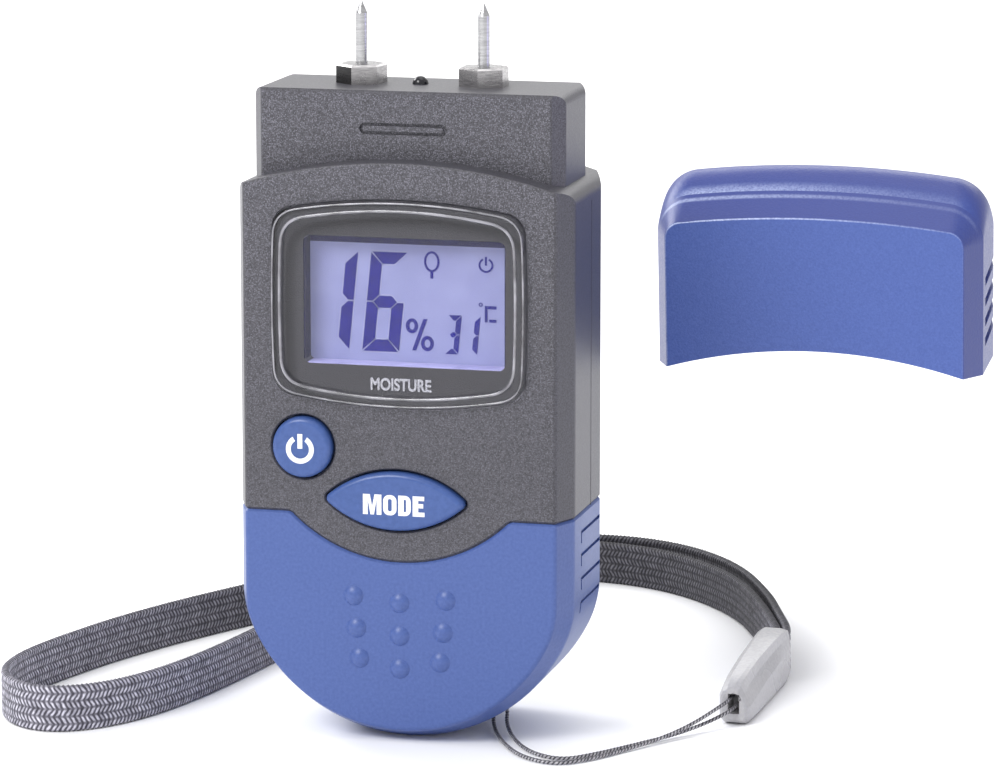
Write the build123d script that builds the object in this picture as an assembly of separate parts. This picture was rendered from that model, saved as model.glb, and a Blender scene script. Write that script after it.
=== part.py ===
from build123d import *
import math
import os

# Pocket pin-type moisture meter with its protective cap lifted off and a wrist strap.
# Millimetres. X to the right, Y towards the back, Z up. The origin is the lowest point of
# the rounded blue boot, in the middle of the body's width and depth.

# ---- driving dimensions ------------------------------------------------------------------
BODY_WIDTH = 47.0
BODY_DEPTH = 24.0
BEVEL_ACROSS = 1.7          # bevel round the front and back faces, measured across the face
BEVEL_DEEP = 4.3            # and measured along the depth
BOTTOM_RADIUS = 24.5
BOTTOM_BLEND = 15.0
SHOULDER_PEAK = 80.0
SHOULDER_RADIUS = 73.65
SHOULDER_CORNER = 2.2
SHOULDER_ROUND = 0.3
RIDGE_ROUND = 2.0
FACE_ROUND = 0.7
WALL = 2.2
BOOT_WALL = 1.6
FIT = 0.05                  # play between parts that are pushed together
PLAY = 0.25                 # gap round a part that moves
PARTING_Y = 1.8             # joint between the front and rear shells

HEAD_WIDTH = 43.4
HEAD_DEPTH = 16.4
HEAD_TOP = 89.2
HEAD_BEVEL = (1.5, 2.4)
HEAD_WALL = 2.0
HEAD_EDGE_ROUND = 0.5
HEAD_CORNER = 1.5
HEAD_CHAMFER = 0.45
SLOT_Z = 84.1               # long slot in the head's front, with a flush bar in it
SLOT_SIZE = (12.2, 1.6)
SLOT_BAR = (11.2, 0.7)
SLOT_DEPTH = 0.45

PIN_X = 8.6
PIN_Y = 1.0
PIN_DIAMETER = 1.65
PIN_TIP = 100.5
PIN_FOOT = 82.0
FOOT_RADIUS = 1.0
CONE_LENGTH = 1.8
COLLAR_ACROSS = 6.1
COLLAR_TOP = 91.8
COLLAR_TURN = {"left": 22.0, "right": 30.0}
SOCKET_RADIUS = 2.4
SOCKET_FOOT = 80.0
SENSOR_X = -0.3
SENSOR_RADIUS = 1.12
SENSOR_TOP = 90.3

LENS_FLOOR = -11.0          # textured ledge that the clear lens lies on
LENS_FACE = -12.2
LENS_RIM_FACE = -12.9
RIM_WIDTH = 1.7
WINDOW = (28.2, 17.6)
WINDOW_CENTRE = (0.6, 61.0)
HOOD_WALL = 1.2
GLASS = (30.0, 20.0)
FRAME_WALL = 1.3
STRIP_HEIGHT = 2.0          # rubber strip that joins the glass to the board
GLASS_FRONT = -7.9
GLASS_BACK = -6.1
BOARD_FRONT = -3.4
BOARD_BACK = -1.8

POWER_AT = (-13.5, 40.7)
POWER_RADIUS = 4.2
MODE_AT = (-0.44, 33.8)
MODE_SIZE = (20.16, 8.1)
MODE_TIP = 0.8
BUTTON_FACE = -13.0
BUTTON_ROUND = 0.8

LINE_FLAT = 31.6            # line where the dark shells end and the blue boot begins
LINE_LOW = 25.2
LINE_REACH = 15.4
BUMP_RADIUS = 1.93          # grip bumps on the boot's front, in three columns
BUMP_HEIGHT = 0.6
BUMPS = [(side * x, z) for x, z in ((6.5, 20.3), (6.1, 15.8), (5.7, 11.6)) for side in (-1, 1)]
BUMPS += [(0, 19.6), (0, 15.0), (0, 10.4)]
RIB_HEIGHTS = (29.0, 25.8, 22.5, 19.2)      # hooked grip grooves in the boot's sides
RIB_DEPTH = 0.35
RIB_HALF = 0.25
RIB_RUN = (-3.9, 7.5)
RIB_HOOK = 1.6

CELL_RADIUS = 10.0
CELL_THICK = 3.2
CELL_AT = (0.0, 47.0)
CELL_BACK = 9.4
COVER = (26.0, 26.0)
COVER_AT = (0.0, 47.0)
COVER_CORNER = 1.5
COVER_GAP = 0.2
GRIP_STEP = 1.6             # finger grooves in the cover
GRIP_HALF = 5.0

CAP_TILT = 6.0
CAP_PLACE = (48.3, 47.0, 49.6)
CAP_FACE_HEIGHT = 19.4
CAP_RISE = 2.85
CAP_CROWN = 2.1
CAP_BEVEL_DEEP = 5.1
CAP_REAR_BEVEL_DEEP = 8.8
CAP_EDGE_ROUND = 0.4
CAP_FACE_HALF = 21.4
CAP_ARCH = 150.0
CAP_WALL = 1.6
CAP_BOTTOM = -8.0           # construction level, under the curved mouth
CAP_GROOVES = [1.1, 4.0, 6.95, 9.95]
CAP_GROOVE_SIZE = (1.5, 11.0, 1.3)
CAP_GROOVE_Y = 0.6
CAP_GROOVE_TILT = 7.0

BAND_WIDTH = 6.6
BAND_THICK = 1.2
BEAD_FRONT = (42.5, 8.0)
BEAD_REAR = (43.5, 35.0)
STRAND_DIAMETER = 0.65
HOLES_X = {"a": 10.3, "b": 12.2}
HOLE_DIAMETER = 0.9
STRAND_IN_BOOT = 1.6
STRAND_IN_BEAD = 3.0
BEAD_STATIONS = [(0.0, 4.0, 0.4, 5.4), (0.12, 5.0, 0.0, 6.2), (0.7, 5.6, 0.0, 8.0),
                 (1.0, 4.9, 0.4, 7.7)]      # share of the length, width, low and high
BEAD_HOLE = (1.8, 4.4)

HALF = BODY_WIDTH / 2
FRONT = -BODY_DEPTH / 2
BACK = BODY_DEPTH / 2

# Wrist band: from the bead round a long flat loop that stands on edge, and back to the bead.
BAND_ROUTE = [
    (42.75, 35.03), (42.9, 39.4), (40.4, 47.0), (36.6, 57.6), (31.0, 70.6), (22.6, 81.6),
    (12.6, 89.0), (0.0, 91.4), (-12.5, 86.5), (-22.5, 73.5), (-26.6, 52.0), (-29.8, 28.3),
    (-34.0, 4.0), (-39.4, -11.5), (-46.5, -18.5), (-53.2, -17.4), (-58.2, -10.6), (-59.2, -2.0),
    (-57.2, 8.5), (-51.4, 27.0), (-40.8, 48.5), (-26.5, 72.0), (-11.0, 90.5), (3.5, 96.6),
    (17.2, 93.0), (29.0, 80.6), (37.0, 62.6), (40.6, 51.4), (43.3, 43.4), (44.27, 38.6),
    (44.15, 34.98)]

# Two strands of the thin cord, from the holes under the boot to the bead.
STRAND_ROUTES = {
    "a": [(10.3, 0.0, 2.0), (10.6, -1.9, 1.1), (12.0, -5.6, 0.5), (14.8, -11.4, 0.36),
          (18.6, -16.8, 0.36), (23.6, -19.0, 0.36), (27.6, -15.4, 0.36), (31.6, -8.6, 0.36),
          (35.6, -2.8, 0.9), (38.6, 1.2, 2.0), (40.7, 4.6, 3.1), (41.95, 7.6, 3.7)],
    "b": [(12.2, 0.0, 2.2), (12.5, -1.9, 1.3), (13.8, -5.2, 0.6), (16.4, -10.4, 0.36),
          (19.8, -14.8, 0.36), (24.0, -16.6, 0.36), (27.6, -12.7, 0.36), (31.8, -6.5, 0.36),
          (35.8, -0.9, 0.5), (39.1, 2.9, 1.2), (41.5, 5.5, 2.1), (42.75, 7.6, 2.7)]}


# ---- helpers -----------------------------------------------------------------------------
def block(x, y, z):
    """Box between two limits on each axis."""
    size = [high - low for low, high in (x, y, z)]
    centre = [(high + low) / 2 for low, high in (x, y, z)]
    return Pos(*centre) * Box(*size)


def across(x, z, radius, y_front, y_back):
    """Round bar along Y."""
    centre = Pos(x, (y_front + y_back) / 2, z)
    return centre * Rot(90, 0, 0) * Cylinder(radius, y_back - y_front)


def upright(x, y, radius, bottom, top):
    """Round bar along Z."""
    return Pos(x, y, (bottom + top) / 2) * Cylinder(radius, top - bottom)


def prism(face, y_front, y_back):
    """Solid from an outline drawn in X and Z, between two depths."""
    return extrude(Plane.XZ.offset(-y_back) * face, amount=y_back - y_front)


def facing(solid, depth, side):
    """The flat face of a solid that looks along Y at a given depth."""
    found = [f for f in solid.faces() if abs(f.center().Y - side * depth) < 1e-3
             and abs(f.normal_at().Y) > 0.99]
    return found[0]


def joined(pieces):
    whole = pieces[0]
    for piece in pieces[1:]:
        whole = whole + piece
    return whole


def without(solid, cuts):
    for cut in cuts:
        solid = solid - cut
    return solid


# ---- case outline ------------------------------------------------------------------------
def long_outline(inset):
    """Front view of the body before its top is cut: round below, with straight sides."""
    half = HALF - inset
    radius = BOTTOM_RADIUS - inset
    low_z = BOTTOM_RADIUS - math.sqrt(radius ** 2 - half ** 2)
    high_z = SHOULDER_PEAK + 10
    face = make_face([
        ThreePointArc((-half, low_z), (0, inset), (half, low_z)),
        Line((half, low_z), (half, high_z)),
        Line((half, high_z), (-half, high_z)),
        Line((-half, high_z), (-half, low_z))])
    face = fillet([v for v in face.vertices() if v.Y < SHOULDER_PEAK / 2], BOTTOM_BLEND - inset)
    return fillet([v for v in face.vertices() if v.Y > SHOULDER_PEAK / 2], SHOULDER_CORNER)


def shoulder_limit(inset, rounded):
    """Everything below the shallow arched shoulder, with its rounded ends."""
    half = HALF - inset
    radius = SHOULDER_RADIUS - inset
    peak = SHOULDER_PEAK - inset
    end_z = peak - radius + math.sqrt(radius ** 2 - half ** 2)
    face = make_face([
        Line((-half, -5), (half, -5)), Line((half, -5), (half, end_z)),
        ThreePointArc((half, end_z), (0, peak), (-half, end_z)),
        Line((-half, end_z), (-half, -5))])
    depth = BODY_DEPTH / 2 - inset
    limit = prism(fillet([v for v in face.vertices() if v.Y > 0], SHOULDER_CORNER), -depth, depth)
    if rounded:
        for side in (-1, 1):
            limit = fillet(facing(limit, depth, side).edges(), SHOULDER_ROUND)
    return limit


def body_block(inset, rounded=False):
    """Whole body, shrunk by an inset: bevelled front and back, and a square-edged shoulder."""
    depth = BODY_DEPTH / 2 - inset
    body = prism(long_outline(inset), -depth, depth)
    for side in (-1, 1):
        face = facing(body, depth, side)
        body = chamfer(face.edges(), BEVEL_ACROSS, BEVEL_DEEP, reference=face)
    if not rounded:
        return body & shoulder_limit(inset, False)
    ridge = depth - BEVEL_DEEP
    body = fillet([e for e in body.edges() if abs(abs(e.center().Y) - ridge) < 1e-3
                   and e.bounding_box().size.Y < 1e-3], RIDGE_ROUND)
    for side in (-1, 1):
        body = fillet(facing(body, depth, side).edges(), FACE_ROUND)
    return body & shoulder_limit(inset, True)


def head_block(shrink, top, finished=False):
    """Narrower block that carries the pins, on top of the body."""
    x = HEAD_WIDTH / 2 - shrink
    y = HEAD_DEPTH / 2 - shrink
    foot = SHOULDER_PEAK - 10
    cut_x, cut_y = HEAD_BEVEL
    corner = [(x, y - cut_y), (x - cut_x, y), (cut_x - x, y), (-x, y - cut_y)]
    points = corner + [(-px, -py) for px, py in corner]
    head = Pos(0, 0, foot) * extrude(Polygon(*points, align=None), amount=top - foot)
    if not finished:
        return head
    head = fillet(head.edges().filter_by(Axis.Z), HEAD_EDGE_ROUND)
    front_view = Pos(0, (foot + top) / 2) * Rectangle(2 * x, top - foot)
    front_view = fillet([v for v in front_view.vertices() if v.Y > SHOULDER_PEAK], HEAD_CORNER)
    cut = HEAD_CHAMFER
    side_view = Plane.YZ * Polygon((-y, foot), (y, foot), (y, top - cut), (y - cut, top),
                                   (cut - y, top), (-y, top - cut), align=None)
    return head & prism(front_view, -y - 1, y + 1) & extrude(side_view, amount=x + 1, both=True)


def below_line(shift):
    """Everything below the boundary between the shells and the boot."""
    flat = LINE_FLAT + shift
    low = LINE_LOW + shift
    wide = BODY_WIDTH
    face = make_face([
        Line((-wide, flat), (-LINE_REACH, flat)),
        ThreePointArc((-LINE_REACH, flat), (0, low), (LINE_REACH, flat)),
        Line((LINE_REACH, flat), (wide, flat)),
        Line((wide, flat), (wide, -10)),
        Line((wide, -10), (-wide, -10)),
        Line((-wide, -10), (-wide, flat))])
    return prism(face, -BODY_DEPTH, BODY_DEPTH)


# ---- display -----------------------------------------------------------------------------
def lens_outline(inset):
    """Window surround: upright sides, arched top and bottom, rounded corners."""
    top, high = 75.1 - inset, 73.3 - inset
    bottom, low = 46.5 + inset, 48.3 + inset
    wide, corner = 17.95 - inset, 17.6 - inset
    middle = (high + low) / 2
    face = make_face([
        ThreePointArc((-corner, high), (0, top), (corner, high)),
        ThreePointArc((corner, high), (wide, middle), (corner, low)),
        ThreePointArc((corner, low), (0, bottom), (-corner, low)),
        ThreePointArc((-corner, low), (-wide, middle), (-corner, high))])
    return fillet(face.vertices(), 3.2 - inset / 2)


def plate(size, centre, y_front, y_back, corner):
    """Rectangular plate with rounded corners, facing the front."""
    face = Pos(*centre) * RectangleRounded(size[0], size[1], corner)
    return prism(face, y_front, y_back)


def display_lens():
    lens = prism(lens_outline(0.15), LENS_FACE, LENS_FLOOR)
    ring = prism(lens_outline(0.15) - lens_outline(0.15 + RIM_WIDTH), LENS_RIM_FACE, LENS_FLOOR)
    ring = fillet(facing(ring, -LENS_RIM_FACE, -1).edges(), 0.6)
    return lens + ring


def display_stack():
    x, z = WINDOW_CENTRE
    outer = plate((GLASS[0] + 2 * FRAME_WALL, GLASS[1] + 2 * FRAME_WALL), WINDOW_CENTRE,
                  GLASS_FRONT, BOARD_FRONT, 0.6)
    frame = outer - plate(GLASS, WINDOW_CENTRE, GLASS_FRONT - 1, BOARD_FRONT + 1, 0.3)
    half_width = GLASS[0] / 2
    low = z - GLASS[1] / 2
    high = z + GLASS[1] / 2
    guide_low = low + STRIP_HEIGHT + 0.4
    guide = plate((GLASS[0], high - guide_low), (x, (guide_low + high) / 2),
                  GLASS_BACK, BOARD_FRONT, 0.3)
    strip = block((x - half_width + 0.5, x + half_width - 0.5), (GLASS_BACK, BOARD_FRONT),
                  (low, low + STRIP_HEIGHT))
    return {"lcd_frame": frame,
            "lcd_glass": plate(GLASS, WINDOW_CENTRE, GLASS_FRONT, GLASS_BACK, 0.3),
            "backlight": guide,
            "contact_strip": strip}


# ---- buttons -----------------------------------------------------------------------------
def eye_shape(grow):
    """Pointed oval of the mode button."""
    x, z = MODE_AT
    half_width, half_height = MODE_SIZE[0] / 2 + grow, MODE_SIZE[1] / 2 + grow
    face = make_face([
        ThreePointArc((x - half_width, z), (x, z + half_height), (x + half_width, z)),
        ThreePointArc((x + half_width, z), (x, z - half_height), (x - half_width, z))])
    return fillet(face.vertices(), MODE_TIP)


def round_shape(grow):
    return Pos(*POWER_AT) * Circle(POWER_RADIUS + grow)


FLANGE_FRONT = FRONT + WALL + 0.1
FLANGE_BACK = FLANGE_FRONT + 1.0
STEM_END = FLANGE_BACK + 0.8
SWITCH_PLUNGER = STEM_END + 0.9


def button(shape, centre):
    cap_part = prism(shape(0), BUTTON_FACE, FLANGE_FRONT)
    cap_part = fillet(facing(cap_part, -BUTTON_FACE, -1).edges(), BUTTON_ROUND)
    flange = prism(shape(0.8), FLANGE_FRONT, FLANGE_BACK)
    stem = across(*centre, 1.5, FLANGE_BACK, STEM_END)
    return cap_part + flange + stem


def tact_switch(centre):
    x, z = centre
    base = block((x - 3, x + 3), (BOARD_FRONT - 3.2, BOARD_FRONT), (z - 3, z + 3))
    plunger = across(x, z, 1.7, SWITCH_PLUNGER, BOARD_FRONT - 3.2)
    return base + plunger


# ---- screws ------------------------------------------------------------------------------
CASE_SCREW_HIGH = (17.9, 74.3)
CASE_SCREW_LOW = (12.5, 14.0)
BOARD_SCREW = (17.0, 47.0)
CASE_SCREWS = [(side * x, z) for x, z in (CASE_SCREW_HIGH, CASE_SCREW_LOW) for side in (-1, 1)]
BOARD_SCREWS = [(side * BOARD_SCREW[0], BOARD_SCREW[1]) for side in (-1, 1)]
HIGH_SEAT = 9.0
LOW_SEAT = 8.0
BOSS_RADIUS = 2.3
BOARD_BOSS_RADIUS = 1.8


def screw(x, z, seat, head_radius, head_height, shank_radius, length):
    """Cross-head screw driven from the back towards the front."""
    head = across(x, z, head_radius, seat, seat + head_height)
    head = fillet(facing(head, seat + head_height, 1).edges(), 0.4)
    slot_depth = head_height * 0.6
    for long_x, long_z in ((1.2, 0.25), (0.25, 1.2)):
        head = head - block((x - long_x, x + long_x),
                            (seat + head_height - slot_depth, seat + head_height + 1),
                            (z - long_z, z + long_z))
    return head + across(x, z, shank_radius, seat - length, seat)


def seat_of(place):
    return HIGH_SEAT if place[1] > BODY_WIDTH else LOW_SEAT


# ---- shells and boot ---------------------------------------------------------------------
def pin_places():
    return {"left": -PIN_X, "right": PIN_X}


def shell_pair():
    """Front and rear shells, split at the parting plane."""
    visible = body_block(0, True) - below_line(0)
    lower = [e for e in visible.edges() if is_on_line(e)]
    visible = chamfer(lower, 0.35) - below_line(0)
    outside = visible + body_block(BOOT_WALL + FIT) + head_block(0, HEAD_TOP, True)
    hollow = body_block(WALL) - below_line(-2)
    hollow = hollow + (body_block(BOOT_WALL + WALL) & below_line(0))
    hollow = hollow + head_block(HEAD_WALL, HEAD_TOP - HEAD_WALL)
    case = outside - hollow

    front_half = block((-HALF - 1, HALF + 1), (-BODY_DEPTH, PARTING_Y), (-1, HEAD_TOP + 1))
    rear_half = block((-HALF - 1, HALF + 1), (PARTING_Y, BODY_DEPTH), (-1, HEAD_TOP + 1))
    front = (case & front_half) + front_details()
    rear = (case & rear_half) + rear_details()
    top_bores = [upright(x, PIN_Y, SOCKET_RADIUS, SOCKET_FOOT, HEAD_TOP + 1)
                 for x in pin_places().values()]
    top_bores.append(upright(SENSOR_X, PIN_Y, SENSOR_RADIUS, SOCKET_FOOT, HEAD_TOP + 1))
    front = without(front, top_bores + front_cuts())
    mouths = [e for e in facing(front, -FRONT, -1).inner_wires() for e in e.edges()]
    front = chamfer([e for e in mouths if e.bounding_box().max.Z < WINDOW_CENTRE[1] - 15], 0.2)
    rear = without(rear, top_bores + rear_cuts())
    return front, rear


def is_on_line(edge):
    """True for an outer edge along the boundary between the shells and the boot."""
    box = edge.bounding_box()
    on_level = box.max.Z < LINE_FLAT + 0.01 and box.min.Z > LINE_LOW - 0.01
    return on_level and box.size.Z < LINE_FLAT - LINE_LOW + 0.1


def front_details():
    """Display hood, screw bosses and board bosses, inside the front shell."""
    inner = FRONT + WALL
    hood = plate((WINDOW[0] + 2 * HOOD_WALL, WINDOW[1] + 2 * HOOD_WALL), WINDOW_CENTRE,
                 LENS_FLOOR, GLASS_FRONT, 1.6)
    details = [hood]
    for x, z in CASE_SCREWS:
        details.append(across(x, z, BOSS_RADIUS, inner, PARTING_Y))
    for x, z in BOARD_SCREWS:
        details.append(across(x, z, BOARD_BOSS_RADIUS, inner, BOARD_FRONT))
    bar = Pos(SENSOR_X, SLOT_Z) * SlotOverall(*SLOT_BAR)
    details.append(prism(bar, 0.15 - HEAD_DEPTH / 2, 1.0 - HEAD_DEPTH / 2))
    return joined(details) & body_and_head()


def body_and_head():
    """Outer limit for anything moulded on the inside of the shells."""
    return body_block(BOOT_WALL + FIT) + head_block(0, HEAD_TOP)


def front_cuts():
    inner = FRONT + WALL + 1.5
    slot = Pos(SENSOR_X, SLOT_Z) * (SlotOverall(*SLOT_SIZE) - SlotOverall(*SLOT_BAR))
    cuts = [prism(lens_outline(0), FRONT - 1, LENS_FLOOR),
            plate(WINDOW, WINDOW_CENTRE, FRONT, GLASS_FRONT + 1, 1.0),
            prism(eye_shape(PLAY), FRONT - 1, inner),
            prism(round_shape(PLAY), FRONT - 1, inner),
            prism(slot, -HEAD_DEPTH / 2 - 1, SLOT_DEPTH - HEAD_DEPTH / 2)]
    for x, z in CASE_SCREWS:
        cuts.append(across(x, z, 1.0, seat_of((x, z)) - 13.0, PARTING_Y + 1))
    for x, z in BOARD_SCREWS:
        cuts.append(across(x, z, 0.8, BOARD_BACK - 5.0, BOARD_FRONT + 1))
    return cuts + cord_holes()


def rear_details():
    """Screw bosses inside the rear shell."""
    return joined([across(x, z, BOSS_RADIUS, PARTING_Y, BACK - WALL)
                   for x, z in CASE_SCREWS]) & body_and_head()


def rear_cuts():
    cuts = [plate(COVER, COVER_AT, BACK - WALL - 1, BACK + 1, COVER_CORNER)]
    for x, z in CASE_SCREWS:
        seat = seat_of((x, z))
        cuts.append(across(x, z, 1.1, PARTING_Y - 1, BACK))
        cuts.append(across(x, z, 2.2, seat, BACK + 1))
    return cuts + cord_holes()


def cord_holes():
    """Two blind holes from below, for the strands of the thin cord."""
    return [upright(x, 0, HOLE_DIAMETER / 2, -1, STRAND_ROUTES[name][0][2] + STRAND_IN_BOOT)
            for name, x in HOLES_X.items()]


def boot():
    sleeve = body_block(0, True) & below_line(0)
    rim = [e for e in sleeve.edges() if is_on_line(e)]
    sleeve = chamfer(rim, 0.3) & below_line(0)
    sleeve = sleeve - body_block(BOOT_WALL)
    face_slab = block((-HALF, HALF), (FRONT - 2, FRONT + 1), (0, LINE_FLAT))
    for x, z in BUMPS:
        ball = Pos(x, FRONT + BUMP_RADIUS - BUMP_HEIGHT, z) * Sphere(BUMP_RADIUS)
        sleeve = sleeve + (ball & face_slab)
    for z in RIB_HEIGHTS:
        for x in (-HALF, HALF):
            cut = (x - RIB_DEPTH, x + RIB_DEPTH)
            sleeve = sleeve - block(cut, RIB_RUN, (z - RIB_HALF, z + RIB_HALF))
            sleeve = sleeve - block(cut, (RIB_RUN[0], RIB_RUN[0] + 2 * RIB_HALF), (z - RIB_HOOK, z))
    return without(sleeve, cord_holes())


# ---- electrodes and sensor ---------------------------------------------------------------
def electrodes():
    parts = {}
    for side, x in pin_places().items():
        radius = PIN_DIAMETER / 2
        shank_top = PIN_TIP - CONE_LENGTH
        foot = upright(x, PIN_Y, FOOT_RADIUS, PIN_FOOT, COLLAR_TOP)
        shank = upright(x, PIN_Y, radius, COLLAR_TOP, shank_top)
        cone = Pos(x, PIN_Y, shank_top + CONE_LENGTH / 2) * Cone(radius, 0.06, CONE_LENGTH)
        parts["electrode_pin_" + side] = foot + shank + cone
        hexagon = RegularPolygon(COLLAR_ACROSS / 2, 6, major_radius=False)
        collar = Pos(x, PIN_Y, HEAD_TOP) * Rot(0, 0, COLLAR_TURN[side]) * extrude(
            hexagon, amount=COLLAR_TOP - HEAD_TOP)
        collar = chamfer(collar.faces().sort_by(Axis.Z)[-1].edges(), 0.25)
        parts["hex_collar_" + side] = collar - upright(x, PIN_Y, FOOT_RADIUS, 80, 95)
        socket = upright(x, PIN_Y, SOCKET_RADIUS, SOCKET_FOOT, HEAD_TOP)
        parts["electrode_socket_" + side] = socket - upright(x, PIN_Y, FOOT_RADIUS, PIN_FOOT, 95)
        strip_z = 72.0
        upright_leg = block((x - 1.5, x + 1.5), (0.8, 1.2), (strip_z, SOCKET_FOOT))
        board_leg = block((x - 1.5, x + 1.5), (BOARD_BACK, 1.2), (strip_z - 0.4, strip_z))
        parts["electrode_contact_" + side] = upright_leg + board_leg
    return parts


def temperature_sensor():
    dome_centre = SENSOR_TOP - SENSOR_RADIUS
    stem = upright(SENSOR_X, PIN_Y, SENSOR_RADIUS, 84, dome_centre)
    return stem + Pos(SENSOR_X, PIN_Y, dome_centre) * Sphere(SENSOR_RADIUS)


# ---- board and battery -------------------------------------------------------------------
def main_board():
    outline = make_face([
        Line((-18.6, 20), (-18.6, 68)), Line((-18.6, 68), (-12.5, 73)),
        Line((-12.5, 73), (12.5, 73)), Line((12.5, 73), (18.6, 68)),
        Line((18.6, 68), (18.6, 20)), Line((18.6, 20), (-18.6, 20))])
    board = prism(outline, BOARD_FRONT, BOARD_BACK)
    return without(board, [across(x, z, 0.85, BOARD_FRONT - 1, BOARD_BACK + 1)
                           for x, z in BOARD_SCREWS])


def battery_parts():
    x, z = CELL_AT
    cell_front = CELL_BACK - CELL_THICK
    cell = across(x, z, CELL_RADIUS, cell_front, CELL_BACK)
    cell = fillet(facing(cell, cell_front, 1).edges(), 0.5)
    floor = cell_front - 0.8
    bore = CELL_RADIUS + 0.3
    tray = across(x, z, bore + 1.4, floor - 1.2, CELL_BACK)
    tray = tray - across(x, z, bore, floor, CELL_BACK + 1)
    legs = [across(x + dx, z + dz, 1.4, BOARD_BACK, floor - 1.2)
            for dx in (-8, 8) for dz in (-6, 6)]
    slot = block((x - 2.5, x + 2.5), (floor, CELL_BACK + 1), (z + bore - 1, z + bore + 3))
    tray = joined([tray - slot] + legs)
    leaf = block((x - 2.5, x + 2.5), (cell_front - 0.4, cell_front), (z - 7, z + 3))
    leaf_foot = block((x - 2.5, x + 2.5), (floor, cell_front), (z - 7.4, z - 7))
    clip_z = z + CELL_RADIUS
    clip = block((x - 2, x + 2), (cell_front, CELL_BACK), (clip_z, clip_z + 0.4))
    clip_foot = block((x - 2, x + 2), (BOARD_BACK, cell_front), (clip_z + 1.8, clip_z + 2.2))
    clip_step = block((x - 2, x + 2), (cell_front, cell_front + 0.4), (clip_z, clip_z + 2.2))
    return {"battery_tray": tray, "coin_cell": cell,
            "battery_contact_negative": leaf + leaf_foot,
            "battery_contact_positive": clip + clip_step + clip_foot}


def battery_cover():
    size = (COVER[0] - 2 * COVER_GAP, COVER[1] - 2 * COVER_GAP)
    cover = plate(size, COVER_AT, BACK - WALL, BACK, COVER_CORNER - COVER_GAP)
    cover = fillet(facing(cover, BACK, 1).edges(), 0.25)
    grip_top = COVER_AT[1] + COVER[1] / 2 - 4
    for z in [grip_top - GRIP_STEP * step for step in range(4)]:
        cover = cover - block((-GRIP_HALF, GRIP_HALF), (BACK - 0.5, BACK + 1),
                              (z - GRIP_STEP / 4, z + GRIP_STEP / 4))
    return cover


# ---- cap ---------------------------------------------------------------------------------
def cap_outline(half, top, corner):
    """Front view of the cap above its mouth: upright sides and a shallow arched top."""
    drop = CAP_ARCH - math.sqrt(CAP_ARCH ** 2 - half ** 2)
    face = make_face([
        Line((-half, CAP_BOTTOM), (-half, top - drop)),
        ThreePointArc((-half, top - drop), (0, top), (half, top - drop)),
        Line((half, top - drop), (half, CAP_BOTTOM)),
        Line((half, CAP_BOTTOM), (-half, CAP_BOTTOM))])
    return fillet([v for v in face.vertices() if v.Y > 0], corner)


def at_depth(face, y):
    return Plane.XZ.offset(-y) * face


def cap_form(face_half, half, face_top, top, face_corner, corner, depth, shoulders):
    """Closed form with a flat front and back, sloping bevels, and a crowned middle."""
    face = cap_outline(face_half, face_top, face_corner)
    side = cap_outline(half, top, corner)
    middle = cap_outline(half, top + CAP_CROWN, corner)
    front, rear = shoulders
    parts = [loft([at_depth(side, front), at_depth(middle, 0), at_depth(side, rear)]),
             loft([at_depth(side, front), at_depth(face, -depth)], ruled=True),
             loft([at_depth(side, rear), at_depth(face, depth)], ruled=True)]
    return joined(parts)


def cap():
    top = CAP_FACE_HEIGHT + CAP_RISE
    front, rear = CAP_BEVEL_DEEP - BACK, BACK - CAP_REAR_BEVEL_DEEP
    outer = cap_form(CAP_FACE_HALF, HALF, CAP_FACE_HEIGHT, top, 2.4, 5.5, BACK, (front, rear))
    for side in (-1, 1):
        outer = fillet(facing(outer, BACK, side).edges(), CAP_EDGE_ROUND)
    inner = cap_form(CAP_FACE_HALF - 1.3, HALF - CAP_WALL, CAP_FACE_HEIGHT - CAP_WALL,
                     top - CAP_WALL, 1.5, 4.2, BACK - CAP_WALL, (front + 0.6, rear - 0.6))
    shell = outer - inner
    shell = shell - across(0, -SHOULDER_RADIUS, SHOULDER_RADIUS, -BODY_DEPTH, BODY_DEPTH)
    for z in CAP_GROOVES:
        for x in (-HALF, HALF):
            turned = Rot(CAP_GROOVE_TILT, 0, 0) * Box(*CAP_GROOVE_SIZE)
            shell = shell - Pos(x, CAP_GROOVE_Y, z) * turned
    return Pos(*CAP_PLACE) * Rot(CAP_TILT, 0, 0) * shell


# ---- strap -------------------------------------------------------------------------------
def arc_radii(points):
    """Largest tangent arc at each corner: 0.45 of the shorter run over tan(half the turn)."""
    radii = []
    for before, corner, after in zip(points, points[1:], points[2:]):
        arrive = Vector(*corner) - Vector(*before)
        leave = Vector(*after) - Vector(*corner)
        half_turn = math.radians(arrive.get_angle(leave)) / 2
        radii.append(0.45 * min(arrive.length, leave.length) / math.tan(half_turn))
    return radii


def cord_path(points, name):
    radii = arc_radii(points)
    path = FilletPolyline(*points, radius=radii)
    print(name, "length", round(path.length, 1), "radii", [round(r, 1) for r in radii])
    return path


def wrist_band():
    points = [(x, y, 0) for x, y in BAND_ROUTE]
    path = cord_path(points, "wrist_band")
    start = Vector(*points[0])
    run = (Vector(*points[1]) - start).normalized()
    section_plane = Plane(origin=start, x_dir=Vector(-run.Y, run.X, 0), z_dir=run)
    section = section_plane * Pos(0, BAND_WIDTH / 2) * Rectangle(BAND_THICK, BAND_WIDTH)
    return sweep(section, path=path)


def strand(name):
    """One strand: straight up into the boot, then along the floor, then into the bead."""
    route = STRAND_ROUTES[name]
    end = Vector(*route[-1])
    into_bead = end + bead_axis() * STRAND_IN_BEAD
    first = Vector(*route[0]) + Vector(0, 0, STRAND_IN_BOOT)
    points = [tuple(first)] + route + [tuple(into_bead)]
    path = cord_path(points, "lanyard_cord_" + name)
    section = Plane(origin=first, z_dir=(0, 0, -1)) * Circle(STRAND_DIAMETER / 2)
    return sweep(section, path=path)


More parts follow.
